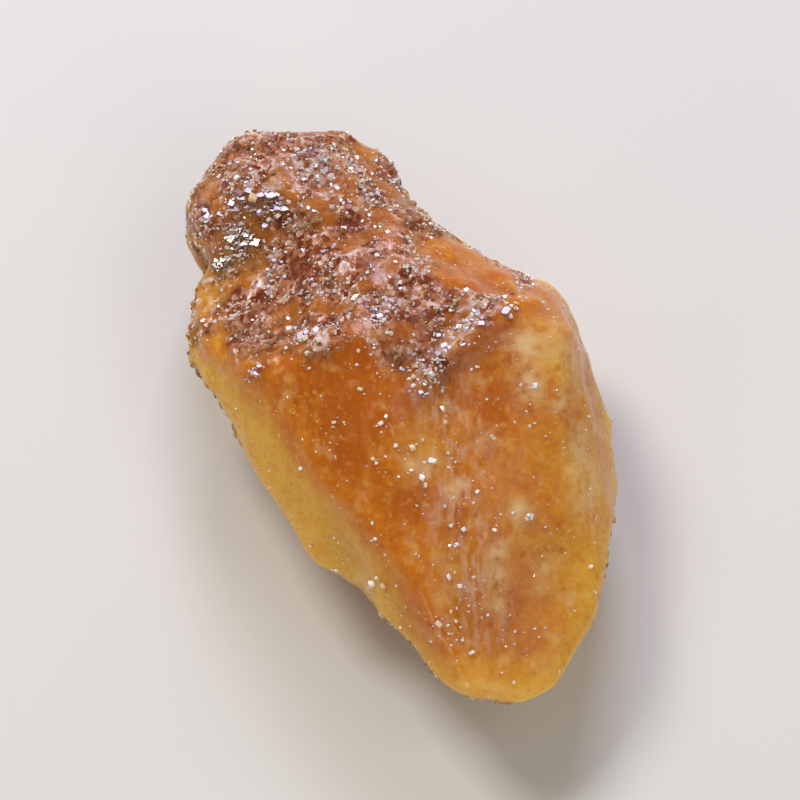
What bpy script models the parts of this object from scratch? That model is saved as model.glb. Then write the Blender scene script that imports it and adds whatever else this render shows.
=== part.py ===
"""A chunk of brown rock sugar: one broken lump of grown-together sugar crystals.

The lump is a cleaved body with a smaller knob of crystal grown onto its back. Its front faces are
smooth fractures that run down to a blunt tip, its back half carries a crust of coarse crystals, and
a frosted ridge stands up between the two. It rests on a flat break in its underside.

Written in millimetres and scaled to metres at the end. +Z is up, +Y runs along the chunk's length
from the tip to the knob, and the origin is the middle of the bounding box's base.
"""

import math

import bmesh
import bpy
from mathutils import Vector, noise

MM = 0.001
CHUNK_NAME = "rock_sugar"

# The core is the point that every face of the body is measured from.
CORE = Vector((0.0, 0.0, 7.0))
KNOB_CENTRE = Vector((-6.2, 12.3, 6.9))
BLOCK_SIDE = 70.0  # the uncut block, larger than any chunk

# How far a bend is worn round, and the size of the mesh that carries the relief.
VOXEL = 0.36
WEAR_FACTOR = 0.5
WEAR_ROUNDS = 14
TARGET_TRIANGLES = 10000
FLOOR_SNAP = 0.02  # points this close to the floor are moved onto it

# Every face of the body: the way it looks round the compass (0 is +X, 90 is +Y) and its tilt above
# the horizon, both in degrees, then its distance from the core in millimetres.
BODY_FACES = {
    # the fractures seen from above
    "left_face": (222, 63, 7.6),
    "right_face": (326, 70, 7.15),
    "right_face_low": (320, 62, 7.9),
    "crest": (271, 72, 7.7),
    "crust_top": (80, 77, 8.3),
    "crust_left": (160, 60, 8.5),
    "crust_back": (116, 54, 9.9),
    "orange_patch": (50, 52, 9.0),
    "tip_shoulder": (290, 46, 13.75),
    "right_shoulder": (350, 44, 9.9),
    # the steep bevels that make the outline
    "left_bevel": (212, 24, 8.5),
    "left_bevel_low": (224, 26, 8.9),
    "tip_left": (256, 26, 15.15),
    "tip_front": (288, 24, 19.05),
    "tip_right": (318, 24, 18.4),
    "right_low": (344, 22, 14.05),
    "right_side": (2, 20, 11.6),
    "right_back": (32, 22, 11.3),
    "back_right": (56, 30, 10.4),
    "back_side": (95, 30, 12.4),
    "left_side": (183, 18, 11.7),
    # the undercut below the widest level
    "under_left": (210, -24, 8.4),
    "under_left_mid": (224, -26, 9.1),
    "under_tip_left": (256, -26, 14.35),
    "under_tip": (288, -22, 18.3),
    "under_tip_low": (290, -46, 13.85),
    "under_right": (338, -26, 13.65),
    "under_right_back": (20, -20, 11.4),
    "under_right_low": (8, -50, 10.6),
    "under_back": (62, -28, 10.4),
    "under_knob": (150, -38, 10.4),
}

# The same for the knob, measured from the knob's own centre.
KNOB_FACES = {
    "top": (95, 82, 5.4),
    "top_left": (160, 47, 5.7),
    "top_right": (35, 50, 5.9),
    "top_back": (98, 38, 5.7),
    "front": (250, 60, 5.4),
    "left": (184, 8, 6.5),
    "left_back": (142, 12, 5.8),
    "back": (96, 10, 5.4),
    "back_right": (62, 14, 6.2),
    "right": (20, 10, 6.6),
    "left_front": (222, 6, 6.2),
    "front_low": (280, -25, 6.5),
    "right_front": (330, 0, 6.6),
    "under_left": (190, -30, 6.0),
    "under_back": (112, -34, 5.2),
    "under_right": (40, -36, 6.0),
    "under": (100, -72, 5.2),
}

# Shallow shell-shaped scars where flakes have sprung off: the way each one looks from the core,
# its radius across the face and its depth.
SCARS = {
    "left_face_hollow": (228, 54, 6.0, 0.25),
    "right_face_hollow": (330, 44, 5.0, 0.30),
    "right_side_chip": (12, 8, 4.0, 0.55),
    "front_chip": (255, 2, 2.6, 0.55),
    "back_break": (60, -8, 6.5, 0.90),
    "left_break": (178, -18, 5.0, 0.70),
    "under_front_break": (300, -28, 6.5, 0.80),
}

# The line where the crust ends, from left to right across the chunk as seen from above.
CRUST_LINE = (
    (-14.0, 0.6), (-8.5, 0.0), (-3.0, 0.4), (-0.8, -1.6), (1.0, -4.6),
    (2.6, -1.0), (4.6, 2.8), (8.2, 5.4), (14.0, 6.5),
)
CRUST_EDGE = 0.9  # how gradually the crust begins
UNDER_CRUST_SPAN = 9.0  # size of the crusted patches below the widest level

# The frosted ridge between the right face and the crust.
RIDGE_LINE = ((1.2, -1.2), (3.4, 1.2), (7.6, 4.4))
RIDGE_HEIGHT = 0.55
RIDGE_WIDTH = 0.75

# Relief, as the size of one wave, grain or facet and its height.
SWELL = (7.5, 0.60)
FACET = (4.2, 0.16)
GRAIN = (1.9, 0.42)
CLUMP = (3.6, 0.34)
GRAIN_TILT = 1.1
FACET_TILT = 1.4
SEAM = 0.30  # width of the blend between two crystal faces, as a share of their size

# Offsets that give each part of the relief its own pattern.
SECOND = Vector((11.0, 0.0, 0.0))
THIRD = Vector((0.0, 23.0, 0.0))
FOURTH = Vector((0.0, 0.0, 5.0))


def direction(azimuth, elevation):
    """The unit vector that looks this way."""
    a = math.radians(azimuth)
    e = math.radians(elevation)
    return Vector((math.cos(a) * math.cos(e), math.sin(a) * math.cos(e), math.sin(e)))


def clamp01(value):
    return max(0.0, min(1.0, value))


def smooth_step(value):
    t = clamp01(value)
    return t * t * (3.0 - 2.0 * t)


def cleaved_block(name, centre, faces, collection):
    """A block of sugar split along each named face."""
    bm = bmesh.new()
    bmesh.ops.create_cube(bm, size=BLOCK_SIDE)
    for azimuth, elevation, distance in faces.values():
        normal = direction(azimuth, elevation)
        cut = bmesh.ops.bisect_plane(
            bm,
            geom=bm.verts[:] + bm.edges[:] + bm.faces[:],
            plane_co=normal * distance,
            plane_no=normal,
            clear_outer=True,
        )
        rim = [part for part in cut["geom_cut"] if isinstance(part, bmesh.types.BMEdge)]
        bmesh.ops.contextual_create(bm, geom=rim)
    bmesh.ops.recalc_face_normals(bm, faces=bm.faces[:])
    bmesh.ops.translate(bm, verts=bm.verts[:], vec=centre)
    mesh = bpy.data.meshes.new(name)
    bm.to_mesh(mesh)
    bm.free()
    block = bpy.data.objects.new(name, mesh)
    collection.objects.link(block)
    return block


def line_at(line, x):
    """The height of a broken line at x."""
    for (x0, y0), (x1, y1) in zip(line, line[1:]):
        if x <= x1:
            return y0 + (y1 - y0) * clamp01((x - x0) / (x1 - x0))
    return line[-1][1]


def distance_to_line(line, x, y):
    """The shortest distance in plan from (x, y) to a broken line."""
    point = Vector((x, y))
    best = math.inf
    for start, end in zip(line, line[1:]):
        a = Vector(start)
        along = Vector(end) - a
        t = clamp01((point - a).dot(along) / along.length_squared)
        best = min(best, (point - a - along * t).length)
    return best


def crust_amount(point, normal):
    """1 where the crystal crust covers the chunk and 0 on a clean fracture."""
    ragged = 1.1 * noise.noise(point / 2.3)
    above = (point.y - line_at(CRUST_LINE, point.x) + ragged) / CRUST_EDGE
    patch = (noise.noise(point / UNDER_CRUST_SPAN + Vector((3.1, 0.0, 7.7))) + 0.06) * 6.0
    seen_from_above = smooth_step((normal.z + 0.25) * 2.5)
    return smooth_step(above) * seen_from_above + smooth_step(patch) * (1.0 - seen_from_above)


def facet_height(point, size, tilt):
    """Height of a field of small crystal faces: tilted planes that meet in narrow blended seams."""
    distances, corners = noise.voronoi(point / size)
    total = 0.0
    height = 0.0
    for distance, corner in zip(distances, corners):
        weight = max(0.0, 1.0 - (distance - distances[0]) / SEAM) ** 2
        if weight <= 0.0:
            continue
        key = corner * 7.13
        lean = Vector((noise.noise(key), noise.noise(key + SECOND), noise.noise(key + THIRD)))
        plane = (point / size - corner).dot(lean) * tilt + 0.6 * noise.noise(key + FOURTH)
        total += weight
        height += weight * plane
    return height / total


def scar_depth(point):
    """How deep the shell-shaped scars bite at this point."""
    depth = 0.0
    for azimuth, elevation, radius, bite in SCARS.values():
        look = direction(azimuth, elevation)
        offset = point - CORE
        if offset.dot(look) <= 0.0:
            continue
        across = (offset - look * offset.dot(look)).length / radius
        depth += bite * max(0.0, 1.0 - across * across) ** 1.5
    return depth


def relief(point, normal):
    """How far the surface stands out from the cleaved form, in millimetres."""
    crust = crust_amount(point, normal)
    swell_size, swell_height = SWELL
    facet_size, facet_height_mm = FACET
    grain_size, grain_height_mm = GRAIN
    clump_size, clump_height_mm = CLUMP
    height = swell_height * noise.noise(point / swell_size)
    height += facet_height_mm * facet_height(point + 4 * SECOND, facet_size, FACET_TILT)
    height += crust * grain_height_mm * facet_height(point, grain_size, GRAIN_TILT)
    height += crust * clump_height_mm * (noise.noise(point / clump_size + Vector((0, 9, 0))) + 0.25)
    ridge = distance_to_line(RIDGE_LINE, point.x, point.y) / RIDGE_WIDTH
    if normal.z > 0.3:
        height += RIDGE_HEIGHT * math.exp(-ridge * ridge) * (1.0 + 0.6 * noise.noise(point / 0.9))
    return height - scar_depth(point)


def worn_lump(body, knob):
    """The body and the knob joined, meshed evenly and worn round."""
    union = body.modifiers.new("join_knob", "BOOLEAN")
    union.operation = "UNION"
    union.object = knob
    remesh = body.modifiers.new("even_mesh", "REMESH")
    remesh.mode = "VOXEL"
    remesh.voxel_size = VOXEL
    wear = body.modifiers.new("wear", "SMOOTH")
    wear.factor = WEAR_FACTOR
    wear.iterations = WEAR_ROUNDS
    graph = bpy.context.evaluated_depsgraph_get()
    return bpy.data.meshes.new_from_object(body.evaluated_get(graph))


def carve_relief(mesh):
    """Moves every point along its normal by the relief."""
    mesh.update()
    places = [(vertex.co.copy(), vertex.normal.copy()) for vertex in mesh.vertices]
    for vertex, (point, normal) in zip(mesh.vertices, places):
        vertex.co = point + normal * relief(point, normal)
    mesh.update()


def thinned(obj):
    """The object's mesh with its triangles spent where the surface bends most."""
    triangles = sum(len(polygon.vertices) - 2 for polygon in obj.data.polygons)
    thin = obj.modifiers.new("thin", "DECIMATE")
    thin.ratio = TARGET_TRIANGLES / triangles
    thin.use_collapse_triangulate = True
    graph = bpy.context.evaluated_depsgraph_get()
    mesh = bpy.data.meshes.new_from_object(obj.evaluated_get(graph))
    obj.modifiers.clear()
    return mesh


def cut_flat_base(mesh):
    """Splits the underside along the level that the chunk rests on, and closes it with one flat face."""
    bm = bmesh.new()
    bm.from_mesh(mesh)
    cut = bmesh.ops.bisect_plane(
        bm,
        geom=bm.verts[:] + bm.edges[:] + bm.faces[:],
        dist=FLOOR_SNAP,
        plane_co=(0, 0, 0),
        plane_no=(0, 0, -1),
        clear_outer=True,
    )
    rim = [part for part in cut["geom_cut"] if isinstance(part, bmesh.types.BMEdge)]
    bmesh.ops.holes_fill(bm, edges=rim)
    for vertex in bm.verts:
        if vertex.co.z < FLOOR_SNAP:
            vertex.co.z = 0.0
    bmesh.ops.triangulate(bm, faces=bm.faces[:])
    bmesh.ops.recalc_face_normals(bm, faces=bm.faces[:])
    bm.to_mesh(mesh)
    bm.free()


def stand_on_origin(mesh):
    """Puts the middle of the bounding box's base at the origin, and turns millimetres into metres."""
    low_x, high_x = (pick(v.co.x for v in mesh.vertices) for pick in (min, max))
    low_y, high_y = (pick(v.co.y for v in mesh.vertices) for pick in (min, max))
    middle = Vector(((low_x + high_x) / 2, (low_y + high_y) / 2, 0))
    for vertex in mesh.vertices:
        vertex.co = (vertex.co - middle) * MM


def sugar_material():
    """Amber sugar, clear enough to glow but rough on its crust."""
    material = bpy.data.materials.new("amber_sugar")
    material.use_nodes = True
    shader = material.node_tree.nodes["Principled BSDF"]
    shader.inputs["Base Color"].default_value = (0.46, 0.17, 0.035, 1.0)
    shader.inputs["Roughness"].default_value = 0.35
    shader.inputs["Metallic"].default_value = 0.0
    return material


def make_chunk():
    collection = bpy.data.collections.new(CHUNK_NAME)
    bpy.context.scene.collection.children.link(collection)
    body = cleaved_block("body", CORE, BODY_FACES, collection)
    knob = cleaved_block("knob", KNOB_CENTRE, KNOB_FACES, collection)
    mesh = worn_lump(body, knob)
    for block in (body, knob):
        bpy.data.objects.remove(block)
    carve_relief(mesh)
    chunk = bpy.data.objects.new(CHUNK_NAME, mesh)
    collection.objects.link(chunk)
    chunk.data = thinned(chunk)
    cut_flat_base(chunk.data)
    stand_on_origin(chunk.data)
    chunk.data.materials.clear()
    chunk.data.materials.append(sugar_material())
    return chunk


def main():
    for obj in list(bpy.data.objects):
        bpy.data.objects.remove(obj)
    make_chunk()


main()
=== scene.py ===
"""Looks for the chunk of brown rock sugar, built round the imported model.

The chunk's form comes from the CAD node. This script meshes it finely, carves the grain that the
solid is too coarse for, and grows sugar crystals, frost and loose grains on it as real meshes.
Lengths are in millimetres until a mesh is finished, and +Z is up. The stage, the lights and the
camera are in metres.
"""

import math
import random
from collections import namedtuple

import bmesh
import bpy
import numpy as np
from mathutils import Matrix, Vector, noise
from mathutils.bvhtree import BVHTree


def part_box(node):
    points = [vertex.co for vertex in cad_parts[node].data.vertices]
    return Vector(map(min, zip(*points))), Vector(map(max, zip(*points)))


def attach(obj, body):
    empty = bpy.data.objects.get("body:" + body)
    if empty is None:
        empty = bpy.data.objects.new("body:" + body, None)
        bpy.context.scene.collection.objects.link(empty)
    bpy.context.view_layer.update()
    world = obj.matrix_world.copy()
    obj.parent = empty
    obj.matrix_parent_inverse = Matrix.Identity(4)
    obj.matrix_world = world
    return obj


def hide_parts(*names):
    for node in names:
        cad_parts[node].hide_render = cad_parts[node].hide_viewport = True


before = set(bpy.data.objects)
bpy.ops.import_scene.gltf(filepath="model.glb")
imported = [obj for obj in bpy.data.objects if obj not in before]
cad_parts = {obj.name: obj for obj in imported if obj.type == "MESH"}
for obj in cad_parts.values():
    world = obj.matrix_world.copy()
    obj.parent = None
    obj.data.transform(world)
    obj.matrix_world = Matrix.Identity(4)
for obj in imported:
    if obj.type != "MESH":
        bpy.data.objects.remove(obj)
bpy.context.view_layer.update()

NODE = "rock_sugar"
MM = 0.001

# ---- the view --------------------------------------------------------------------------------

# The photograph looks along +Y and down at this angle.
VIEW_ELEVATION = 67.0
VIEW_FROM = (-90, VIEW_ELEVATION)  # azimuth and elevation of the view, and of its upward side
VIEW_UP = (90, 90 - VIEW_ELEVATION)
LENS_MM = 135.0
SENSOR_MM = 36.0
FRAME_FILL = 0.84  # share of the picture's height that the chunk takes
BOX_LOW, BOX_HIGH = (Vector(corner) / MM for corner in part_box(NODE))
VIEW_MIDDLE = (BOX_LOW + BOX_HIGH) / 2
VIEW_DROP = 0.8  # the outline's middle lies this far below the box's
OUTSIDE = 60.0  # a distance from which a ray to the chunk starts well outside it

# ---- the mesh --------------------------------------------------------------------------------

VOXEL = 0.175
SMOOTH_ROUNDS = 7
SMOOTH_FACTOR = 0.5
WELD_M = 1e-6  # points of the CAD mesh that lie nearer than this, in metres, are joined

# ---- the crust and the crest, seen from above ------------------------------------------------

# The line where the crust ends, from left to right across the chunk.
CRUST_LINE = (
    (-14.0, 3.0), (-10.6, 1.6), (-9.4, 0.4), (-5.2, -0.1), (-2.8, -0.2), (-0.6, -1.2), (1.0, -2.3),
    (1.8, -2.2), (2.6, -1.6), (3.8, -0.4), (5.6, 2.6), (7.8, 5.4), (8.6, 9.0), (14.0, 12.0),
)
CRUST_EDGE = 1.5  # the width over which it fades
EDGE_WAVES = (1.9, 1.3)  # the size of the waves in its edge, and their reach
EDGE_TEETH = (0.7, 1.0)  # the same for the teeth on them
# The smooth orange patch inside the crust: its middle, half length, half width and turn.
PATCH = ((4.1, 6.6), 3.3, 2.3, -28.0)
PATCH_REACH = 1.15  # its rim, as a share of those halves
PATCH_SLOPE = 3.0
PATCH_RAGGED = 0.6  # how much of the crust's raggedness its rim takes
# The crust's patches on the unseen sides: size, how rare they are, how sharp and how ragged.
HIDDEN_SIZE = 10.0
HIDDEN_RARE = 0.10
HIDDEN_SLOPE = 6.0
HIDDEN_RAGGED = 0.12
HIDDEN_SHIFT = Vector((3.1, 0.0, 7.7))
SEEN_FROM = -0.25  # a face with a normal's z above this starts to count as seen
SEEN_SLOPE = 2.5
# Glassy gaps in the crust: their size, the size and share of their ragged edge, how bare they are.
BARE_SIZE = 2.4
BARE_EDGE = (1.0, 0.5)
BARE_MOST = 0.75
BARE_FROM = 0.02
BARE_SLOPE = 4.0

# The fibrous band that runs down beside the crest between the two smooth faces.
CREST_LINE = ((2.2, -1.5), (3.2, -7.0), (4.5, -14.0))
CREST_WIDTH = 1.9
CREST_UP = 0.2  # it lies only on faces with a normal's z above this

# The rays that feel for thin rims run down, or up from below: their sideways lean, how far they
# turn inward, their fade, and how deep they start.
PROBES = ((0.0, 0.0), (0.4, 0.0), (-0.4, 0.0), (0.0, 0.4), (0.0, -0.4))
PROBE_INWARD = 0.6
PROBE_FADE = 4.5
PROBE_START = 0.05

# How many rounds of averaging give the thinness, the small bulges and the wide pits.
THIN_ROUNDS = 6
BULGE_ROUNDS = 3
PIT_ROUNDS = 20

# ---- places on the seen side: millimetres right of and above its middle, then what is there --

# Tints: radius, and how much paler (or, below 0, deeper orange) the sugar is.
TINTS = (
    (-1.9, 1.2, 2.6, -0.16), (-6.4, 1.6, 2.0, -0.12), (-0.6, -5.6, 1.8, -0.10),
    (0.8, -9.6, 1.4, -0.14), (-4.2, -2.6, 2.4, -0.14), (1.2, -5.5, 2.0, -0.08),
    (1.6, -12.4, 1.3, -0.12), (-0.9, -10.6, 1.0, 0.12), (5.4, 1.6, 2.2, -0.06),
    (8.6, -1.6, 2.0, 0.10), (5.6, -6.0, 2.2, 0.05), (4.2, 7.6, 2.4, -0.12),
    (6.4, -13.2, 3.2, -0.22), (10.2, -3.2, 1.6, 0.20), (9.4, -6.4, 1.8, 0.08),
    (9.2, 3.4, 2.0, 0.30), (-10.0, 1.0, 2.0, 0.10), (1.4, -2.4, 1.6, 0.25),
    (11.0, -1.0, 1.5, 0.12), (11.2, -5.2, 1.5, 0.12), (10.6, -9.4, 1.5, 0.14),
)
# The crisp inner edge of the bevel on the left, made pale by a painted glow of light through it: up,
# then across.
BEVEL_EDGE = (
    (-10.5, -1.0), (-8.5, -1.4), (-6.2, -3.1), (-3.6, -5.3), (-1.0, -7.5), (0.8, -10.3),
)
# The bevel's paleness is a painted glow of light shining through it, on the seen side only.
BEVEL_PAINTED_GLOW = 0.12  # how much paler the bevel is
BEVEL_SOFT = 0.8  # the width of its edge
BEVEL_GLOW = (0.20, 2.2)  # the paleness that reaches past its edge, and how far
BEVEL_TOP = 4.0  # its upper end, and the length over which it fades in below that
BEVEL_FADE = 3.0
FACING_FROM = -0.16  # how far a face has to look to the view before it takes the tint
FACING_SLOPE = 2.5
# Pale patches under the surface: radius and strength.
HAZES = (
    (7.5, 1.6, 0.8, 1.2), (7.2, 4.0, 1.1, 0.9), (10.0, 3.4, 1.3, 0.8), (9.4, 0.6, 0.8, 0.7),
    (10.8, -3.7, 1.4, 0.7), (10.9, -5.8, 1.2, 0.6), (10.6, -1.6, 1.1, 0.6), (6.9, -5.6, 0.8, 0.8),
    (5.5, -7.8, 0.6, 0.9), (5.5, -9.3, 0.6, 0.9), (5.6, -10.8, 0.6, 0.7), (3.3, -4.4, 0.7, 0.6),
    (8.2, -8.8, 0.8, 0.5), (1.2, -3.2, 0.8, 0.5), (-2.0, -9.9, 0.6, 0.6), (2.0, 3.2, 0.9, 0.5),
    (5.2, -1.4, 0.7, 0.5), (8.6, 4.6, 1.0, 0.5),
)
# Frosted patches of the crust: radius and strength.
FROSTS = (
    (-4.2, 15.0, 1.6, 1.3), (3.4, 5.0, 1.2, 1.6), (5.8, 6.0, 1.0, 1.4), (1.6, -2.2, 1.1, 0.9),
    (1.5, 2.6, 1.1, 1.0), (-1.4, 6.6, 1.5, 0.7), (-8.8, 12.4, 1.7, 1.2), (-9.6, 9.6, 1.5, 1.2),
    (-4.6, 4.6, 1.6, 0.6), (-6.6, 2.6, 1.3, 0.6), (-4.0, 9.0, 1.4, 0.4), (-0.6, 10.4, 1.3, 0.5),
    (-1.8, 13.4, 1.6, 1.0), (-6.4, 14.2, 1.4, 1.0),
)
# Larger crystal faces that mirror the sky light: how many, how far they spread, the largest size.
GLINTS = (
    (-9.4, 13.0, 34, 0.45, 0.70), (-7.7, 12.3, 46, 0.50, 0.74), (-11.3, 11.8, 16, 0.35, 0.6),
    (-5.2, 14.6, 10, 0.8, 0.5), (-2.6, 12.6, 8, 0.6, 0.45), (-1.6, 5.9, 5, 0.35, 0.6),
    (-8.4, 2.4, 9, 0.3, 0.6), (-5.0, 4.2, 4, 0.35, 0.7), (4.2, 5.2, 12, 0.5, 0.6),
    (6.0, 6.1, 8, 0.4, 0.6), (2.6, 3.8, 12, 0.5, 0.5), (1.4, 1.5, 6, 0.35, 0.5),
    (0.3, 2.4, 5, 0.35, 0.5), (3.7, 7.2, 2, 0.15, 0.4), (-4.4, 15.2, 8, 0.9, 0.5),
    (-3.4, 10.6, 8, 1.2, 0.5), (-6.0, 7.6, 8, 1.4, 0.45), (-1.6, 8.2, 8, 1.4, 0.45),
)
# The same on the side that the sky light doesn't reach, where they mirror the key light.
KEY_GLINTS = ((-9.6, 10.6, 48, 0.42, 0.74), (-10.5, 8.9, 26, 0.38, 0.64))
# Clusters of bright grains: how many, how far they spread and their largest size.
SPECKS = (
    (-8.4, 2.5, 8, 0.35, 0.40), (-5.3, 4.2, 7, 0.5, 0.40), (-1.7, 5.7, 6, 0.5, 0.40),
    (-9.6, 13.1, 6, 0.5, 0.45), (-7.8, 12.3, 6, 0.5, 0.45), (-9.6, 10.3, 6, 0.5, 0.40),
    (-1.5, -2.9, 6, 0.25, 0.46), (0.9, -2.3, 9, 0.45, 0.42), (1.2, -3.6, 7, 0.4, 0.40),
    (7.6, 1.5, 9, 0.5, 0.26), (-1.7, -9.9, 5, 0.35, 0.40), (3.2, -9.2, 3, 0.3, 0.35),
    (7.1, -5.4, 5, 0.5, 0.30), (12.3, -0.1, 3, 0.3, 0.30), (11.6, -9.9, 2, 0.3, 0.28),
    (1.4, 2.3, 8, 0.6, 0.40), (3.8, 5.5, 12, 0.8, 0.36), (6.4, 6.3, 10, 0.7, 0.34),
    (-0.6, -0.8, 5, 0.3, 0.40), (-3.7, -0.4, 3, 0.25, 0.32), (-1.35, -6.5, 4, 0.25, 0.38),
    (3.0, -6.6, 5, 0.35, 0.36), (3.6, -12.7, 6, 0.40, 0.34), (1.9, -11.8, 5, 0.4, 0.30),
    (-0.7, -12.0, 4, 0.3, 0.34), (2.5, 0.2, 5, 0.35, 0.38), (3.3, -4.6, 8, 0.5, 0.26),
    (3.1, -7.8, 10, 0.6, 0.26), (3.3, -10.8, 10, 0.6, 0.26), (2.8, -2.6, 8, 0.5, 0.26),
    (1.0, -7.9, 3, 0.2, 0.28), (5.2, -1.4, 2, 0.15, 0.30), (7.4, -13.6, 2, 0.15, 0.30),
    (1.3, 1.4, 5, 0.4, 0.36),
)

# ---- relief ----------------------------------------------------------------------------------

# Shifts that keep one noise from repeating another.
NO_SHIFT = Vector((0.0, 0.0, 0.0))
SECOND = Vector((11.0, 0.0, 0.0))
THIRD = Vector((0.0, 23.0, 0.0))
FOURTH = Vector((0.0, 0.0, 5.0))

GRAINS = ((1.9, 0.30), (0.85, 0.20))  # the crust's grains: size and height
GRAIN_TILT = 1.3
GRAIN_SEAM = 0.16
GRAIN_SHIFT = 3.0 * SECOND
FACET = (3.8, 0.10)  # the same for the wide facets of the clean faces
FACET_TILT = 1.6
FACET_SEAM = 0.25
FACET_STEP = 0.6  # how far one facet stands out from the next, as a share of its size
FACET_SEED = 7.13  # spreads neighbouring facets over their noise
SWELL = (2.6, 0.10)
STREAK = (0.55, 7.0, 0.045)  # across, along, height
STREAK_LEAN = 0.16
STREAK_BEND = (4.0, 0.5)  # the size of its waves and their reach
STREAK_SHARE = (0.4, 1.3)  # how much of it shows everywhere, and how much more on the crest
PITS = (1.7, 0.22, 0.16)  # spacing, radius, depth
PIT_RARE = 0.12
PIT_SEED = 5.7
FLOOR_FADE = 0.9  # relief fades out this close to the floor

# ---- light -----------------------------------------------------------------------------------

KEY_PLACE = (132, 50)  # azimuth and elevation of the key light
SKY_PLACE = (88, 38)  # the same for the lilac sky light
# Name, azimuth and elevation, distance, size, power and colour.
LIGHTS = (
    ("key", KEY_PLACE, 0.5, 0.16, 1.55, (1.0, 0.98, 0.93)),
    ("back_sky", SKY_PLACE, 0.5, 0.16, 1.65, (0.70, 0.72, 1.0)),
    ("fill", (-50, 38), 0.6, 0.5, 1.05, (1.0, 0.95, 0.85)),
    ("left_fill", (238, 13), 0.5, 0.18, 0.5, (1.0, 0.93, 0.80)),
    ("right_sheen", (4, 60), 0.5, 0.13, 0.14, (1.0, 0.93, 0.82)),
    ("right_fill", (12, 24), 0.5, 0.20, 0.15, (1.0, 0.90, 0.70)),
)
WORLD_COLOUR = (1.0, 0.97, 0.90, 1.0)
WORLD_STRENGTH = 0.22
FLOOR_HALF = 1.5
FLOOR_ROUGHNESS = 0.7


def direction(azimuth, elevation):
    """The unit vector that looks this way, in degrees."""
    a = math.radians(azimuth)
    e = math.radians(elevation)
    return Vector((math.cos(a) * math.cos(e), math.sin(a) * math.cos(e), math.sin(e)))


def clamp01(value):
    return max(0.0, min(1.0, value))


def smooth_step(value):
    t = clamp01(value)
    return t * t * (3.0 - 2.0 * t)


def rise(value, start, slope):
    """0 up to start, then 1 within 1 / slope of it; a slope below 0 falls from 1 to 0 instead."""
    return smooth_step((value - start) * slope)


def at_least(least, share):
    """A share of 0 to 1, squeezed between least and 1."""
    return least + (1.0 - least) * share


def waves(point, size, shift=NO_SHIFT):
    """Smooth noise between -1 and 1, with waves of this size."""
    return noise.noise(point / size + shift)


def line_at(line, x):
    """The height of a broken line at x."""
    for (x0, y0), (x1, y1) in zip(line, line[1:]):
        if x <= x1:
            return y0 + (y1 - y0) * clamp01((x - x0) / (x1 - x0))
    return line[-1][1]


def distance_to_line(line, x, y):
    """The shortest distance in plan from (x, y) to a broken line."""
    point = Vector((x, y))
    best = math.inf
    for start, end in zip(line, line[1:]):
        a = Vector(start)
        along = Vector(end) - a
        t = clamp01((point - a).dot(along) / along.length_squared)
        best = min(best, (point - a - along * t).length)
    return best


# ---- the chunk's mesh ------------------------------------------------------------------------


def in_patch(point):
    """1 in the middle of the smooth patch, falling to 0 at its rim."""
    (x, y), half_length, half_width, turn = PATCH
    c = math.cos(math.radians(turn))
    s = math.sin(math.radians(turn))
    dx = point.x - x
    dy = point.y - y
    along = (dx * c + dy * s) / half_length
    across = (dy * c - dx * s) / half_width
    return rise(math.hypot(along, across), PATCH_REACH, -PATCH_SLOPE)


def crust_zone(point, normal):
    """1 where the crystal crust belongs and 0 on a clean fracture."""
    wave_size, wave_reach = EDGE_WAVES
    tooth_size, tooth_reach = EDGE_TEETH
    ragged = wave_reach * waves(point, wave_size) + tooth_reach * waves(point, tooth_size, SECOND)
    above = (point.y - line_at(CRUST_LINE, point.x) + ragged) / CRUST_EDGE
    patch = in_patch(point + Vector((ragged, ragged, 0)) * PATCH_RAGGED)
    top = smooth_step(above) * (1.0 - patch)
    hidden = waves(point, HIDDEN_SIZE, HIDDEN_SHIFT) + HIDDEN_RAGGED * ragged
    below = rise(hidden, HIDDEN_RARE, HIDDEN_SLOPE)
    seen = rise(normal.z, SEEN_FROM, SEEN_SLOPE)
    return top * seen + below * (1.0 - seen)


def bareness(point):
    """How far the crust is worn down to glassy sugar here, inside its zone."""
    edge_size, edge_share = BARE_EDGE
    bare = waves(point, BARE_SIZE, FOURTH) + edge_share * waves(point, edge_size, THIRD)
    return BARE_MOST * rise(bare, BARE_FROM, BARE_SLOPE)


def facet_height(point, size, tilt, seam):
    """Height of a field of small crystal faces: tilted planes that meet in blended seams."""
    distances, corners = noise.voronoi(point / size)
    total = 0.0
    height = 0.0
    for distance, corner in zip(distances, corners):
        weight = max(0.0, 1.0 - (distance - distances[0]) / seam) ** 2
        if weight <= 0.0:
            continue
        key = corner * FACET_SEED
        lean = Vector((noise.noise(key), noise.noise(key + SECOND), noise.noise(key + THIRD)))
        slope = (point / size - corner).dot(lean) * tilt
        height += weight * (slope + FACET_STEP * noise.noise(key + FOURTH))
        total += weight
    return height / total


def streak_noise(point):
    """Noise drawn out along the chunk's length, which the smooth faces' fibres follow."""
    across, along, _ = STREAK
    bend_size, bend_reach = STREAK_BEND
    sideways = point.x - STREAK_LEAN * point.y + bend_reach * waves(point, bend_size)
    return noise.noise(Vector((sideways / across, point.y / along, point.z / along)))


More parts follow.
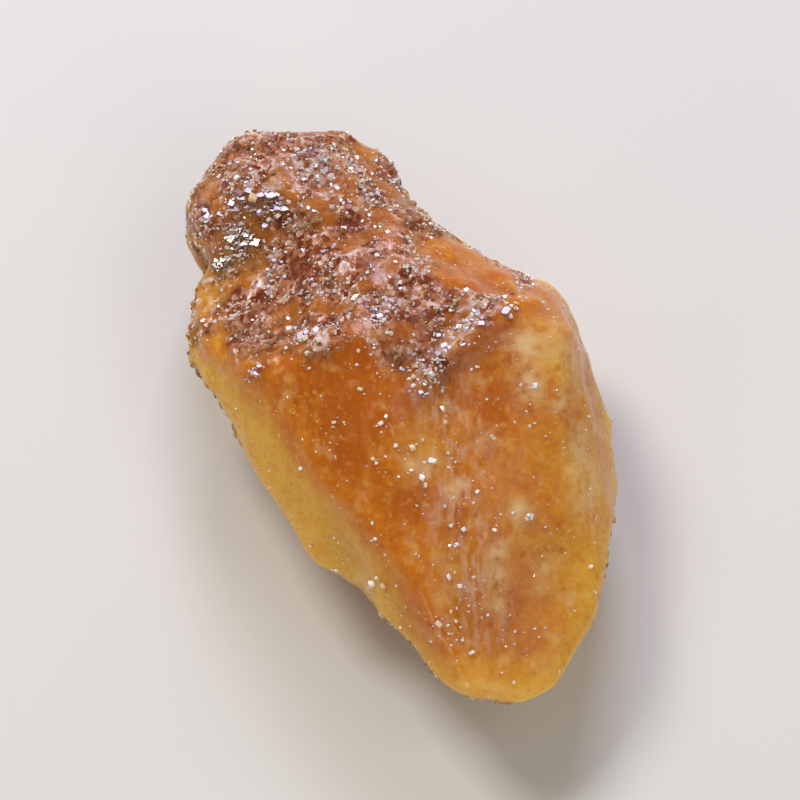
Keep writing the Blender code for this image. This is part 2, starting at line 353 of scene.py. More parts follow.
def fine_relief(point, crust, crest):
    """How far the surface stands out from the CAD form, in millimetres."""
    facet_size, facet_mm = FACET
    swell_size, swell_mm = SWELL
    everywhere, more_on_crest = STREAK_SHARE
    streak_mm = STREAK[2] * (everywhere + more_on_crest * crest)
    clean = 1.0 - crust
    height = clean * facet_mm * facet_height(point, facet_size, FACET_TILT, FACET_SEAM)
    height += swell_mm * waves(point, swell_size, THIRD)
    height += clean * streak_mm * streak_noise(point)
    for size, mm in GRAINS:
        height += crust * mm * facet_height(point + GRAIN_SHIFT, size, GRAIN_TILT, GRAIN_SEAM)
    spacing, radius, depth = PITS
    distances, corners = noise.voronoi(point / spacing + FOURTH)
    if noise.noise(corners[0] * PIT_SEED) > PIT_RARE:
        height -= clean * depth * max(0.0, 1.0 - (distances[0] * spacing / radius) ** 2)
    return height


def new_object(name, data):
    thing = bpy.data.objects.new(name, data)
    bpy.context.scene.collection.objects.link(thing)
    return thing


def fine_mesh(node):
    """The CAD node's form in millimetres, meshed evenly enough to carry the grain."""
    bm = bmesh.new()
    bm.from_mesh(node.data)
    bmesh.ops.remove_doubles(bm, verts=bm.verts[:], dist=WELD_M)
    bmesh.ops.scale(bm, vec=(1 / MM, 1 / MM, 1 / MM), verts=bm.verts[:])
    mesh = bpy.data.meshes.new("chunk_form")
    bm.to_mesh(mesh)
    bm.free()
    form = new_object("chunk_form", mesh)
    remesh = form.modifiers.new("even_mesh", "REMESH")
    remesh.mode = "VOXEL"
    remesh.voxel_size = VOXEL
    wear = form.modifiers.new("wear", "SMOOTH")
    wear.factor = SMOOTH_FACTOR
    wear.iterations = SMOOTH_ROUNDS
    graph = bpy.context.evaluated_depsgraph_get()
    fine = bpy.data.meshes.new_from_object(form.evaluated_get(graph))
    bpy.data.objects.remove(form)
    return fine


def points_and_normals(mesh):
    count = len(mesh.vertices)
    co = np.empty(count * 3)
    mesh.vertices.foreach_get("co", co)
    normals = np.empty(count * 3)
    mesh.vertex_normals.foreach_get("vector", normals)
    return co.reshape(-1, 3), normals.reshape(-1, 3)


def set_attribute(mesh, name, values):
    attribute = mesh.attributes.new(name, "FLOAT", "POINT")
    attribute.data.foreach_set("value", values.astype(np.float32))


def attribute_values(mesh, name):
    values = np.empty(len(mesh.vertices))
    mesh.attributes[name].data.foreach_get("value", values)
    return values


def neighbour_mean(mesh, values, rounds):
    """values averaged over each point's neighbours, this many times."""
    edges = np.empty(len(mesh.edges) * 2, dtype=np.int64)
    mesh.edges.foreach_get("vertices", edges)
    a, b = edges.reshape(-1, 2).T
    count = len(mesh.vertices)
    degree = np.bincount(a, minlength=count) + np.bincount(b, minlength=count)
    result = values.astype(float)
    for _ in range(rounds):
        total = np.zeros_like(result)
        np.add.at(total, a, result[b])
        np.add.at(total, b, result[a])
        result = total / degree.reshape(-1, *[1] * (result.ndim - 1))
    return result


def mesh_tree(mesh, co):
    return BVHTree.FromPolygons([Vector(c) for c in co], [p.vertices[:] for p in mesh.polygons])


def thinness(tree, co, normals):
    """How near daylight lies below or above each point: 0 deep in the chunk, 1 at a sharp rim.

    A few rays are sent through the sugar, and each counts for less the longer it runs.
    """
    thin = np.zeros(len(co))
    for i, (point, normal) in enumerate(zip(co, normals)):
        n = Vector(normal)
        start = Vector(point) - n * PROBE_START
        down = -1.0 if n.z > 0 else 1.0
        for x, y in PROBES:
            ray = (Vector((x, y, down)) - n * PROBE_INWARD).normalized()
            _, _, _, length = tree.ray_cast(start, ray)
            thin[i] += math.exp(-(length or 0.0) / PROBE_FADE) / len(PROBES)
    return thin


def seen_at(tree, across, up):
    """The point and normal seen here, in millimetres from the outline's middle."""
    look = -direction(*VIEW_FROM)
    place = Vector((across, 0, 0)) + direction(*VIEW_UP) * (up - VIEW_DROP)
    start = VIEW_MIDDLE + place - look * OUTSIDE
    point, normal, _, _ = tree.ray_cast(start, look)
    return point, normal


def seen_place(co):
    """Where each point is seen: across and up from the outline's middle, in millimetres."""
    away = co - np.array(VIEW_MIDDLE)
    return away[:, 0], away @ np.array(direction(*VIEW_UP)) + VIEW_DROP


def painted_bevel_glow(co, normals):
    """How much paler each point is for lying on the left bevel, on the seen side: a painted glow of
    light through the thin bevel.
    """
    across, up = seen_place(co)
    facing = normals @ np.array(direction(*VIEW_FROM))
    glow, glow_reach = BEVEL_GLOW
    tint = np.zeros(len(co))
    for i, (x, y) in enumerate(zip(across, up)):
        inside = x - line_at(BEVEL_EDGE, y)
        pale = BEVEL_PAINTED_GLOW * rise(inside, BEVEL_SOFT / 2, -1 / BEVEL_SOFT)
        pale += glow * math.exp(-max(0.0, inside) / glow_reach)
        below_top = rise(y, BEVEL_TOP, -1 / BEVEL_FADE)
        tint[i] = pale * below_top * rise(facing[i], FACING_FROM, FACING_SLOPE)
    return tint


def spots(tree, co, places):
    """The sum of soft round spots at these seen places, at each point."""
    total = np.zeros(len(co))
    for across, up, radius, amount in places:
        middle, _ = seen_at(tree, across, up)
        if middle:
            away = ((co - np.array(middle)) ** 2).sum(axis=1)
            total += amount * np.exp(-away / radius ** 2)
    return total


def carved_chunk(node):
    """The chunk's mesh with its fine relief, and what the material needs to know at each point."""
    mesh = fine_mesh(node)
    co, normals = points_and_normals(mesh)
    zone = np.empty(len(co))
    crust = np.empty(len(co))
    crest = np.empty(len(co))
    height = np.empty(len(co))
    for i, (c, n) in enumerate(zip(co, normals)):
        point = Vector(c)
        zone[i] = crust_zone(point, Vector(n))
        crust[i] = zone[i] * (1.0 - bareness(point))
        near = distance_to_line(CREST_LINE, point.x, point.y) / CREST_WIDTH
        crest[i] = math.exp(-near * near) if n[2] > CREST_UP else 0.0
        height[i] = fine_relief(point, crust[i], crest[i])
    tree = mesh_tree(mesh, co)
    told = {
        "zone": zone,
        "crust": crust,
        "crest": crest,
        "thin": neighbour_mean(mesh, thinness(tree, co, normals), THIN_ROUNDS),
        # paler or deeper spots, plus the bevel's painted glow
        "tint": spots(tree, co, TINTS) + painted_bevel_glow(co, normals),
        "haze": spots(tree, co, HAZES),
        "frost": spots(tree, co, FROSTS),
    }

    fade = np.clip(co[:, 2] / FLOOR_FADE, 0.0, 1.0)
    carved = co + normals * (height * fade)[:, None]
    carved[:, 2] = np.maximum(carved[:, 2], 0.0)
    mesh.vertices.foreach_set("co", carved.ravel())
    mesh.update()
    co, normals = points_and_normals(mesh)
    told["bulge"] = ((co - neighbour_mean(mesh, co, BULGE_ROUNDS)) * normals).sum(axis=1)
    told["pit"] = ((neighbour_mean(mesh, co, PIT_ROUNDS) - co) * normals).sum(axis=1)
    for name, values in told.items():
        set_attribute(mesh, name, values)
    return mesh


# ---- materials -------------------------------------------------------------------------------


def srgb(r, g, b):
    """A colour given as 0 to 255 on screen, as the shader's linear value."""
    linear = [((c / 255 + 0.055) / 1.055) ** 2.4 if c > 10.3 else c / 255 / 12.92 for c in (r, g, b)]
    return (*linear, 1.0)


class Nodes:
    """Short calls for wiring a material."""

    def __init__(self, name):
        self.material = bpy.data.materials.new(name)
        self.material.use_nodes = True
        self.tree = self.material.node_tree
        self.shader = self.tree.nodes["Principled BSDF"]
        self.coords = self.tree.nodes.new("ShaderNodeTexCoord").outputs["Object"]

    def link(self, value, socket):
        """Wire a socket to another node's output, or give it a plain value."""
        if isinstance(value, bpy.types.NodeSocket):
            self.tree.links.new(value, socket)
        else:
            socket.default_value = value

    def set(self, **values):
        """The main shader's inputs, with _ for each space in a name."""
        for name, value in values.items():
            self.link(value, self.shader.inputs[name.replace("_", " ")])

    def attribute(self, name):
        node = self.tree.nodes.new("ShaderNodeAttribute")
        node.attribute_name = name
        return node.outputs["Fac"]

    def math(self, operation, a, b=0.0, clamp=False):
        node = self.tree.nodes.new("ShaderNodeMath")
        node.operation = operation
        node.use_clamp = clamp
        self.link(a, node.inputs[0])
        self.link(b, node.inputs[1])
        return node.outputs[0]

    def vector(self, operation, a, b=None):
        node = self.tree.nodes.new("ShaderNodeVectorMath")
        node.operation = operation
        self.link(a, node.inputs[0])
        if b is not None:
            self.link(b, node.inputs["Scale" if operation == "SCALE" else 1])
        return node.outputs[0]

    def centred(self, value):
        """A noise that lies round 0.5, moved to lie round 0."""
        return self.math("SUBTRACT", value, 0.5)

    def weighted(self, *parts):
        """The sum of (value, weight) pairs."""
        total = 0.0
        for value, weight in parts:
            total = self.math("ADD", total, self.math("MULTIPLY", value, weight))
        return total

    def span(self, value, low, high, to_low=0.0, to_high=1.0):
        """A smooth ramp from to_low, where the value is low, to to_high, where it is high."""
        node = self.tree.nodes.new("ShaderNodeMapRange")
        node.interpolation_type = "SMOOTHSTEP"
        self.link(value, node.inputs["Value"])
        limits = {"From Min": low, "From Max": high, "To Min": to_low, "To Max": to_high}
        for name, number in limits.items():
            node.inputs[name].default_value = number
        return node.outputs["Result"]

    def mix(self, factor, a, b):
        node = self.tree.nodes.new("ShaderNodeMix")
        node.data_type = "RGBA"
        self.link(factor, node.inputs["Factor"])
        self.link(a, node.inputs["A"])
        self.link(b, node.inputs["B"])
        return node.outputs["Result"]

    def layer(self, colour, over, where, strength):
        """A colour with another laid over it, where says so and at this strength at the most."""
        return self.mix(self.math("MULTIPLY", where, strength), colour, over)

    def layers(self, colour, value, table):
        """A table's colours laid over: the value for none, the value for most, colour, strength."""
        for none, most, over, strength in table:
            colour = self.layer(colour, over, self.span(value, none, most), strength)
        return colour

    def mapped(self, scale, offset=(0, 0, 0), turn=(0, 0, 0)):
        """The object's own coordinates in millimetres, stretched."""
        node = self.tree.nodes.new("ShaderNodeMapping")
        self.link(self.coords, node.inputs["Vector"])
        node.inputs["Scale"].default_value = [s / MM for s in scale]
        node.inputs["Location"].default_value = offset
        node.inputs["Rotation"].default_value = turn
        return node.outputs["Vector"]

    def noise(self, size_mm, detail, offset=(0, 0, 0), stretch=(1, 1, 1), turn=(0, 0, 0)):
        node = self.tree.nodes.new("ShaderNodeTexNoise")
        node.inputs["Scale"].default_value = 1.0
        node.inputs["Detail"].default_value = detail
        place = self.mapped([s / size_mm for s in stretch], offset, turn)
        self.link(place, node.inputs["Vector"])
        return node.outputs["Fac"]

    def cells(self, size_mm):
        """A random colour for each cell of this size."""
        node = self.tree.nodes.new("ShaderNodeTexVoronoi")
        node.inputs["Scale"].default_value = 1.0
        self.link(self.mapped([1 / size_mm] * 3), node.inputs["Vector"])
        return node.outputs["Color"]

    def bump(self, height, distance_mm, strength):
        node = self.tree.nodes.new("ShaderNodeBump")
        node.inputs["Strength"].default_value = strength
        node.inputs["Distance"].default_value = distance_mm * MM
        self.link(height, node.inputs["Height"])
        return node.outputs["Normal"]

    def facets(self, cells, lean, normal):
        """Flat crystal faces too small for the mesh: each cell tips the normal its own way."""
        turn = self.vector("SUBTRACT", cells, (0.5, 0.5, 0.5))
        turn = self.vector("SCALE", turn, lean)
        return self.vector("NORMALIZE", self.vector("ADD", normal, turn))

    def brightness(self, colour):
        """The first channel of a cell's random colour."""
        node = self.tree.nodes.new("ShaderNodeSeparateColor")
        self.link(colour, node.inputs[0])
        return node.outputs[0]


DEEP = srgb(172, 90, 14)
CORE = srgb(188, 114, 22)
WARM = srgb(198, 138, 36)
THIN = srgb(208, 160, 54)
CRUST_RED = srgb(116, 48, 20)
CRUST_TAN = srgb(172, 112, 74)
FROST = srgb(226, 208, 200)
HAZE = srgb(212, 174, 98)
MILK = srgb(216, 188, 138)
BAND = srgb(202, 164, 138)
VEIL = srgb(140, 74, 34)
AMBER_PALE = srgb(204, 150, 104)
AMBER_WARM = srgb(158, 88, 42)
GLINT_PALE = srgb(146, 104, 96)
GLINT_WARM = srgb(132, 86, 66)
FROST_PALE = srgb(250, 240, 230)
FROST_WARM = srgb(228, 192, 158)
FLOOR_GREY = srgb(206, 203, 198)

# Noises: size in mm, detail and offset, and for fibres their stretch and turn.
FIBRE_TURN = (0, 0, STREAK_LEAN)
CLOUD = (3.6, 5.0)
WISP = (1.3, 5.0, (7, 3, 1))
MOTTLE = (0.55, 4.0, (3, 1, 8))
FIBRE = (0.5, 4.0, (2, 9, 4), (1, 0.25, 0.25), FIBRE_TURN)
STRAND = (0.42, 4.0, (5, 4, 9), (1, 0.3, 0.3), FIBRE_TURN)
SPECKLE = (0.34, 2.0, (6, 2, 2))
GLOSS = (0.8, 4.0, (1, 2, 3))
FINE = (0.26, 4.0)

# How strongly the noises pale or deepen the amber.
CLOUD_WEIGHT = 0.36
WISP_WEIGHT = 0.22
MOTTLE_WEIGHT = 0.34
# Paler towards thin sugar: partly the amber's own colour, partly a painted glow of light shining
# through it.
# The amber's colour from thick to thin: where each next colour starts, is full, and what it is.
DEPTHS = ((-0.05, 0.10, CORE), (0.10, 0.28, WARM), (0.26, 0.52, THIN))
# Layers over it: the noise's value for none, its value for most, the colour and its strength.
FIBRE_LAYERS = ((0.48, 0.34, DEEP, 0.14), (0.50, 0.66, HAZE, 0.08))
SPECKLE_LAYERS = ((0.46, 0.26, DEEP, 0.45), (0.56, 0.76, HAZE, 0.40))
STRAND_SPAN = (0.44, 0.64)
STRAND_STRENGTH = 0.62
# Milky patches, which wisps and mottle break up, and fainter milky wisps everywhere.
MILK_BREAK = (0.72, 1.12, 0.1, 1.0)
MILK_WISPS = (0.56, 0.76)
MILK_WISP_STRENGTH = 0.34
MILK_STRENGTH = 0.85
# A painted highlight on rims, where the sugar is both thin and sharply convex.
RIM_HIGHLIGHT_SHARP = (-0.04, -0.16)
RIM_HIGHLIGHT_THIN = (0.30, 0.50)
RIM_HIGHLIGHT_STRENGTH = 0.6
VEIL_STRENGTH = 0.35  # the darker gaps in the crust

# The crust's tone: how much its facets, the wisps and its pits count (the pits as painted shade), and
# its colours' ranges.
SMALL_FACET = 0.36
LARGE_FACET = 0.90
SMALL_TONE = 0.5
LARGE_TONE = 0.3
WISP_TONE = 0.7
# Darker in the crust's pits: painted shade.
PIT_SHADE = -0.6
TAN_SPAN = (0.18, 0.62)
# The crust warms to amber where the sugar is thin: partly a painted glow of light shining through it.
CRUST_THIN = (0.15, 0.50, 0.0, 0.7)
FROST_TONE = 0.16
FROST_SPAN = (0.56, 0.76)
FROST_BULGE = (-0.03, 0.03, 0.3, 1.0)
FROST_STRENGTH = 0.7

# Surface values; each pair is for clean sugar and for the crust.
GLOSS_SPAN = (0.35, 0.70, 0.15, 0.32)
FIBRE_BUMP = 0.4
BUMP_MM = 0.05
BUMP_STRENGTH = 0.6
LARGE_LEAN = (0.05, 0.5)
SMALL_LEAN = (0.03, 0.6)
GLOW_WEIGHT = (0.92, 0.45)
# How far red, green and blue light spreads inside, as shares of the depth in mm.
AMBER_SPREAD = (1.0, 0.55, 0.18)
AMBER_DEPTH = 4.0
AMBER_IOR = 1.45
AMBER_SHINE = 0.36
# The same for single crystals. The roughness is for the warmest and the palest ones.
CRYSTAL_ROUGHNESS = (0.24, 0.08)
CRYSTAL_GLOW = 0.6
CRYSTAL_SPREAD = (1.0, 0.5, 0.2)
CRYSTAL_DEPTH = 1.0
CRYSTAL_IOR = 1.54


def amber_colour(n, light, crest, pit, thin, wisp, mottle, fibre):
    """Clear sugar, paler where thin (partly a painted glow of light through it), with fibres along the
    smooth faces, pale along the crest, milky wisps, and a painted highlight on thin sharp rims.
    """
    clear = DEEP
    for start, full, colour in DEPTHS:
        clear = n.mix(n.span(light, start, full), clear, colour)
    clear = n.layers(clear, fibre, FIBRE_LAYERS)
    strands = n.span(n.noise(*STRAND), *STRAND_SPAN)
    clear = n.layer(clear, BAND, strands, n.math("MULTIPLY", crest, STRAND_STRENGTH))
    clear = n.layers(clear, n.noise(*SPECKLE), SPECKLE_LAYERS)
    broken = n.span(n.math("ADD", wisp, mottle), *MILK_BREAK)
    wisps = n.math("MULTIPLY", n.span(wisp, *MILK_WISPS), MILK_WISP_STRENGTH)
    patches = n.math("MULTIPLY", n.attribute("haze"), broken)
    patches = n.math("ADD", patches, wisps, clamp=True)
    clear = n.layer(clear, MILK, patches, MILK_STRENGTH)
    # A painted highlight along thin, sharply convex rims.
    rim = n.math("MULTIPLY", n.span(pit, *RIM_HIGHLIGHT_SHARP), n.span(thin, *RIM_HIGHLIGHT_THIN))
    clear = n.layer(clear, HAZE, rim, RIM_HIGHLIGHT_STRENGTH)
    return n.layer(clear, VEIL, n.attribute("zone"), VEIL_STRENGTH)


def crust_colour(n, light, pit, wisp, small, large):
    """The crust: red-brown, darker in its pits as painted shade, tan on its grains and frosted on its
    tips.
    """
    tone = n.weighted(
        (n.brightness(small), SMALL_TONE),
        (n.brightness(large), LARGE_TONE),
        (n.centred(wisp), WISP_TONE),
        (pit, PIT_SHADE),
    )
    crusty = n.mix(n.span(tone, *TAN_SPAN), CRUST_RED, CRUST_TAN)
    crusty = n.mix(n.span(light, *CRUST_THIN), crusty, WARM)
    frost = n.math("ADD", tone, n.math("MULTIPLY", n.attribute("frost"), FROST_TONE))
    frosty = n.math("MULTIPLY", n.span(frost, *FROST_SPAN), n.span(n.attribute("bulge"), *FROST_BULGE))
    return n.layer(crusty, FROST, frosty, FROST_STRENGTH)


def chunk_material():
    n = Nodes("amber_sugar")
    crust = n.attribute("crust")
    pit = n.attribute("pit")
    thin = n.attribute("thin")
    wisp = n.noise(*WISP)
    mottle = n.noise(*MOTTLE)
    fibre = n.noise(*FIBRE)
    small = n.cells(SMALL_FACET)
    large = n.cells(LARGE_FACET)

    # pale where daylight lies close behind, deeper and clouded in the thick of the chunk
    uneven = n.weighted(
        (n.centred(n.noise(*CLOUD)), CLOUD_WEIGHT),
        (n.centred(wisp), WISP_WEIGHT),
        (n.centred(mottle), MOTTLE_WEIGHT),
    )
    light = n.math("ADD", thin, n.math("ADD", uneven, n.attribute("tint")))
    clear = amber_colour(n, light, n.attribute("crest"), pit, thin, wisp, mottle, fibre)
    crusty = crust_colour(n, light, pit, wisp, small, large)

    fine = n.math("ADD", n.noise(*FINE), n.math("MULTIPLY", fibre, FIBRE_BUMP))
    normal = n.bump(fine, BUMP_MM, BUMP_STRENGTH)
    normal = n.facets(large, n.span(crust, 0.0, 1.0, *LARGE_LEAN), normal)
    normal = n.facets(small, n.span(crust, 0.0, 1.0, *SMALL_LEAN), normal)

    n.set(Base_Color=n.mix(crust, clear, crusty), Normal=normal)
    n.set(Roughness=n.span(n.noise(*GLOSS), *GLOSS_SPAN))
    n.set(Subsurface_Weight=n.span(crust, 0.0, 1.0, *GLOW_WEIGHT))
    n.set(Subsurface_Radius=AMBER_SPREAD, Subsurface_Scale=AMBER_DEPTH * MM)
    n.set(IOR=AMBER_IOR, Specular_IOR_Level=AMBER_SHINE)
    return n.material


def crystal_material(name, pale, warm, clear=0.0, shine=0.5):
    """Small crystals: each a little paler or warmer than the next."""
    n = Nodes(name)
    tone = n.attribute("tone")
    n.set(Base_Color=n.mix(n.span(tone, 0.0, 1.0), warm, pale))
    n.set(Roughness=n.span(tone, 0.0, 1.0, *CRYSTAL_ROUGHNESS))
    n.set(Transmission_Weight=clear, Subsurface_Weight=CRYSTAL_GLOW)
    n.set(Subsurface_Radius=CRYSTAL_SPREAD, Subsurface_Scale=CRYSTAL_DEPTH * MM)
    n.set(IOR=CRYSTAL_IOR, Specular_IOR_Level=shine)
    return n.material


# ---- crystals --------------------------------------------------------------------------------

# A crystal's ranges: its slants, length, width, how its thickness varies, the corners that are cut
# off, and how far out they are cut.
SLANT_X = (-0.5, 0.5)
SLANT_Y = (-0.3, 0.3)
LENGTH = (0.75, 1.2)
WIDTH = (0.5, 0.9)
THICKNESS_RANGE = (0.8, 1.2)
CORNER = (0.4, 1.0)
CORNER_CUT = (0.68, 0.86)

SEED = 20
SHAPES = 8  # how many different blocks there are, and how many shards
BLOCK = {"corners": 3, "thickness": 0.65}
SHARD = {"corners": 2, "thickness": 0.32}
SMALLNESS = 2.2  # the higher, the more of the crystals are near the smallest size
SINK_RANGE = 0.2  # how much deeper than its kind's sink a crystal may sit
MIRROR_SPREAD = 0.09  # how far a glint may look past its mirror direction

# A kind of crystal: its sizes, and the share of its size that it is sunk into the surface.
Kind = namedtuple("Kind", "name smallest largest sink")
CRUST_CRYSTALS = Kind("crust_crystals", 0.12, 0.48, 0.64)
GLINT_PLATES = Kind("glints", 0.20, 1.0, 0.44)
FROST_GRAINS = Kind("frost_grains", 0.06, 0.27, 0.30)
DUST = Kind("dust", 0.05, 0.14, 0.2)
LOOSE_GRAINS = Kind("loose_grains", 0.08, 0.26, 0.15)

# A scatter: how many, the lowest height at which they lie, the size of their clumps, and the
# shift of the noise that makes the clumps.
Scatter = namedtuple("Scatter", "count lowest clump shift")
CRUST_SCATTER = Scatter(2200, 0.8, 2.2, SECOND)
FROST_SCATTER = Scatter(3200, 0.8, 1.3, THIRD)
LOOSE_SCATTER = Scatter(60, 2.0, 3.0, FOURTH)
DUST_SCATTER = Scatter(420, 1.0, 1.8, SECOND)
CLUMP_FROM = -0.12
CLUMP_SLOPE = 3.0
# How readily each kind lies between its clumps, and on faces that look up or down: where the
# ramp over their normal's z starts, and its slope.
CRUST_BETWEEN = 0.15
CRUST_HIDDEN = 0.7
CRUST_DOWN = (0.35, -2.0)
FROST_BETWEEN = 0.05
FROST_CLUMPS = 0.6
FROST_UNSEEN = 0.25
FROST_UP = (-4 / 15, 1.5)
LOOSE_UP = (0.0, 1.0)
DUST_BETWEEN = 0.1
DUST_UP = (-0.4, 1.0)


def crystal_shape(rng, corners, thickness):
    """One sugar crystal about 1 across: a slanted block with a few corners cut off."""
    bm = bmesh.new()
    bmesh.ops.create_cube(bm, size=1.0)
    slant = Matrix(((1, 0, rng.uniform(*SLANT_X)), (0, 1, rng.uniform(*SLANT_Y)), (0, 0, 1)))
    stretch = (rng.uniform(*LENGTH), rng.uniform(*WIDTH), thickness * rng.uniform(*THICKNESS_RANGE))
    bmesh.ops.scale(bm, vec=stretch, verts=bm.verts[:])
    bmesh.ops.transform(bm, matrix=slant.to_4x4(), verts=bm.verts[:])
    for _ in range(corners):
        look = Vector([rng.choice((-1, 1)) * rng.uniform(*CORNER) for _ in range(3)]).normalized()
        reach = max(v.co.dot(look) for v in bm.verts)
        cut = bmesh.ops.bisect_plane(
            bm,
            geom=bm.verts[:] + bm.edges[:] + bm.faces[:],
            plane_co=look * reach * rng.uniform(*CORNER_CUT),
            plane_no=look,
            clear_outer=True,
        )
        rim = [part for part in cut["geom_cut"] if isinstance(part, bmesh.types.BMEdge)]
        bmesh.ops.holes_fill(bm, edges=rim)
    bmesh.ops.triangulate(bm, faces=bm.faces[:])
    bmesh.ops.recalc_face_normals(bm, faces=bm.faces[:])
    bm.verts.index_update()
    points = np.array([v.co[:] for v in bm.verts])
    faces = np.array([[v.index for v in f.verts] for f in bm.faces])
    bm.free()
    return points, faces


class Surface:
    """The carved chunk as somewhere to set crystals down."""

    def __init__(self, mesh, rng):
        self.rng = rng
        self.co, self.normals = points_and_normals(mesh)
        self.crust = attribute_values(mesh, "crust")
        self.frost = attribute_values(mesh, "frost")
        self.tree = mesh_tree(mesh, self.co)

    def scatter(self, spread, wanted):
        """Points of the mesh, drawn where wanted(normal, clump, crust, frost) is high."""
        picks = []
        while len(picks) < spread.count:
            i = self.rng.randrange(len(self.co))
            point, normal = Vector(self.co[i]), Vector(self.normals[i])
            chance = 0.0
            if point.z >= spread.lowest:
                clump = rise(waves(point, spread.clump, spread.shift), CLUMP_FROM, CLUMP_SLOPE)
                chance = wanted(normal, clump, self.crust[i], self.frost[i])
            if self.rng.random() < chance:
                picks.append((point, normal, None, None))
        return picks

    def clusters(self, places, aim=None):
        """Points round each seen place, with their grains' largest size and the way they face."""
        picks = []
        for across, up, count, spread, largest in places:
            for _ in range(count):
                drawn = (self.rng.gauss(across, spread), self.rng.gauss(up, spread))
                point, normal = seen_at(self.tree, *drawn)
                if point:
                    picks.append((point, normal, largest, aim))
        return picks


def crust_place(normal, clump, crust, frost):
    """In clumps over the seen crust, and more evenly on the hidden sides."""
    hidden = rise(normal.z, *CRUST_DOWN)
    return crust * max(at_least(CRUST_BETWEEN, clump), CRUST_HIDDEN * hidden)


def frost_place(normal, clump, crust, frost):
    """A little all over the crust's upper side, more in clumps and most in the frosted patches."""
    seen = at_least(FROST_UNSEEN, rise(normal.z, *FROST_UP))
    return crust * seen * (FROST_BETWEEN + FROST_CLUMPS * clump ** 2 + frost)


def loose_place(normal, clump, crust, frost):
    """In clumps on the upper side of the clean faces."""
    return (1.0 - crust) * rise(normal.z, *LOOSE_UP) * clump


def dust_place(normal, clump, crust, frost):
    """All over the clean faces' upper side, and more in clumps."""
    return (1.0 - crust) * (DUST_BETWEEN + clump) * rise(normal.z, *DUST_UP)


def mirror_aim(azimuth, elevation):
    """The way a flat side looks when it mirrors light from here to the view."""
    return (direction(azimuth, elevation) + direction(*VIEW_FROM)).normalized()


def crystal_piece(kind, places, shapes, rng, material):
    """Crystals of one kind at every place, as one mesh.

    A place may have a largest size of its own, and the way that its crystal's flat side looks, to
    within a few degrees.
    """
    points = []
    faces = []
    tones = []
    start = 0
    for place, normal, largest, aim in places:
        shape, triangles = shapes[rng.randrange(len(shapes))]
        room = (largest or kind.largest) - kind.smallest
        size = kind.smallest + room * rng.random() ** SMALLNESS
        axis = Vector((rng.gauss(0, 1), rng.gauss(0, 1), rng.gauss(0, 1))).normalized()
        spin = Matrix.Rotation(rng.uniform(0, math.tau), 3, axis)
        if aim:
            tilt = (aim + MIRROR_SPREAD * axis).to_track_quat("Z", "Y").to_matrix()
            spin = tilt @ Matrix.Rotation(rng.uniform(0, math.tau), 3, "Z")
        centre = place + normal * size * (0.5 - kind.sink - SINK_RANGE * rng.random())
        points.append(shape @ np.array(spin).T * size + np.array(centre))
        faces.append(triangles + start)
        tones.append(np.full(len(shape), rng.random()))
        start += len(shape)
    co = np.concatenate(points)
    co[:, 2] = np.maximum(co[:, 2], 0.0)
    mesh = bpy.data.meshes.new(kind.name)
    mesh.from_pydata((co * MM).tolist(), [], np.concatenate(faces).tolist())
    set_attribute(mesh, "tone", np.concatenate(tones))
    return finished_piece(kind.name, mesh, material)


def finished_piece(name, mesh, material):
    piece = new_object(name, mesh)
    mesh.materials.clear()
    mesh.materials.append(material)
    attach(piece, "root")
    return piece


# ---- the chunk -------------------------------------------------------------------------------

rng = random.Random(SEED)
chunk_mesh = carved_chunk(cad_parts[NODE])
surface = Surface(chunk_mesh, rng)
chunk_mesh.transform(Matrix.Scale(MM, 4))
for polygon in chunk_mesh.polygons:
    polygon.use_smooth = True
chunk = finished_piece("chunk_body", chunk_mesh, chunk_material())
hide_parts(NODE)

blocks = [crystal_shape(rng, **BLOCK) for _ in range(SHAPES)]
shards = [crystal_shape(rng, **SHARD) for _ in range(SHAPES)]

amber_crystals = crystal_material("amber_crystal", AMBER_PALE, AMBER_WARM, clear=0.3)
glint_crystals = crystal_material("glint_crystal", GLINT_PALE, GLINT_WARM, shine=0.62)
frost_crystals = crystal_material("frost_crystal", FROST_PALE, FROST_WARM)

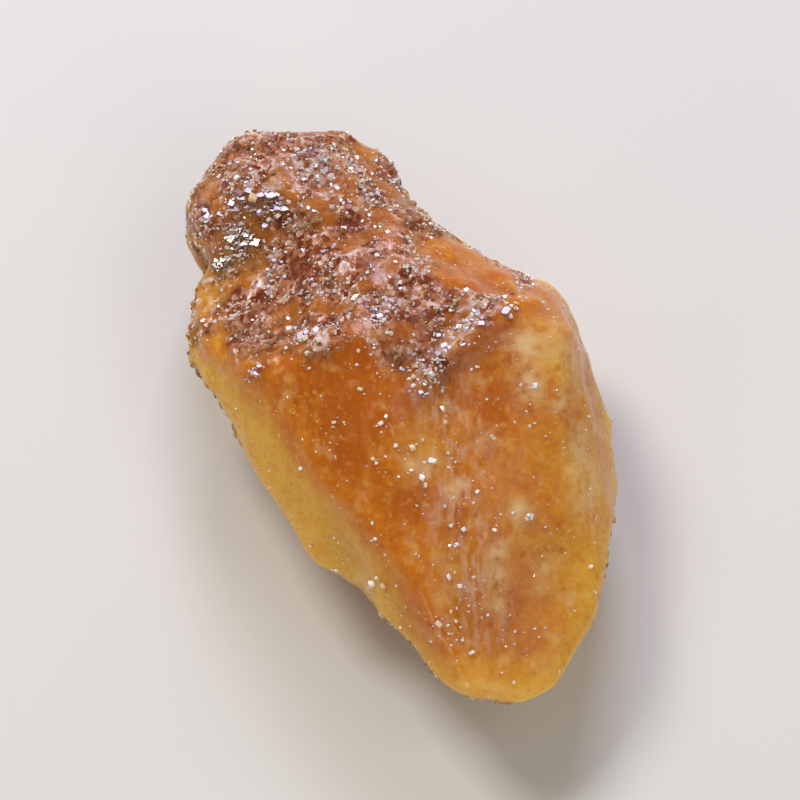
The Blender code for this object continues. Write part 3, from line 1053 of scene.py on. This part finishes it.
crust_places = surface.scatter(CRUST_SCATTER, crust_place)
crystal_piece(CRUST_CRYSTALS, crust_places, blocks, rng, amber_crystals)
glint_places = surface.clusters(GLINTS, mirror_aim(*SKY_PLACE))
glint_places += surface.clusters(KEY_GLINTS, mirror_aim(*KEY_PLACE))
crystal_piece(GLINT_PLATES, glint_places, shards, rng, glint_crystals)
frost_places = surface.scatter(FROST_SCATTER, frost_place)
crystal_piece(FROST_GRAINS, frost_places, shards, rng, frost_crystals)
loose_places = surface.scatter(LOOSE_SCATTER, loose_place) + surface.clusters(SPECKS)
dust_places = surface.scatter(DUST_SCATTER, dust_place)
crystal_piece(DUST, dust_places, blocks, rng, frost_crystals)
crystal_piece(LOOSE_GRAINS, loose_places, blocks, rng, frost_crystals)


# ---- stage, lights and camera ----------------------------------------------------------------


def stand_off(thing, look, distance):
    """Set a light or camera this far from the chunk's middle, looking back at it."""
    thing.location = VIEW_MIDDLE * MM + look * distance
    thing.rotation_euler = look.to_track_quat("Z", "Y").to_euler()


def floor():
    bm = bmesh.new()
    bmesh.ops.create_grid(bm, x_segments=1, y_segments=1, size=FLOOR_HALF)
    mesh = bpy.data.meshes.new("floor")
    bm.to_mesh(mesh)
    bm.free()
    n = Nodes("pale_floor")
    n.set(Base_Color=FLOOR_GREY, Roughness=FLOOR_ROUGHNESS)
    mesh.materials.append(n.material)
    new_object("floor", mesh)


def area_light(name, place, distance, size, power, colour):
    """A soft square light that looks at the chunk."""
    data = bpy.data.lights.new(name, "AREA")
    data.shape = "SQUARE"
    data.size = size
    data.energy = power
    data.color = colour
    stand_off(new_object(name, data), direction(*place), distance)


def camera():
    data = bpy.data.cameras.new("camera")
    data.lens = LENS_MM
    data.sensor_width = SENSOR_MM
    eye = new_object("camera", data)
    size = (BOX_HIGH - BOX_LOW) * MM
    elevation = math.radians(VIEW_ELEVATION)
    tall = size.y * math.sin(elevation) + size.z * math.cos(elevation)
    stand_off(eye, direction(*VIEW_FROM), tall / FRAME_FILL / (SENSOR_MM / LENS_MM))
    bpy.context.scene.camera = eye


floor()
for light in LIGHTS:
    area_light(*light)
camera()

world = bpy.data.worlds.new("studio")
bpy.context.scene.world = world
world.use_nodes = True
world.node_tree.nodes["Background"].inputs["Color"].default_value = WORLD_COLOUR
world.node_tree.nodes["Background"].inputs["Strength"].default_value = WORLD_STRENGTH
bpy.context.scene.view_settings.view_transform = "Standard"
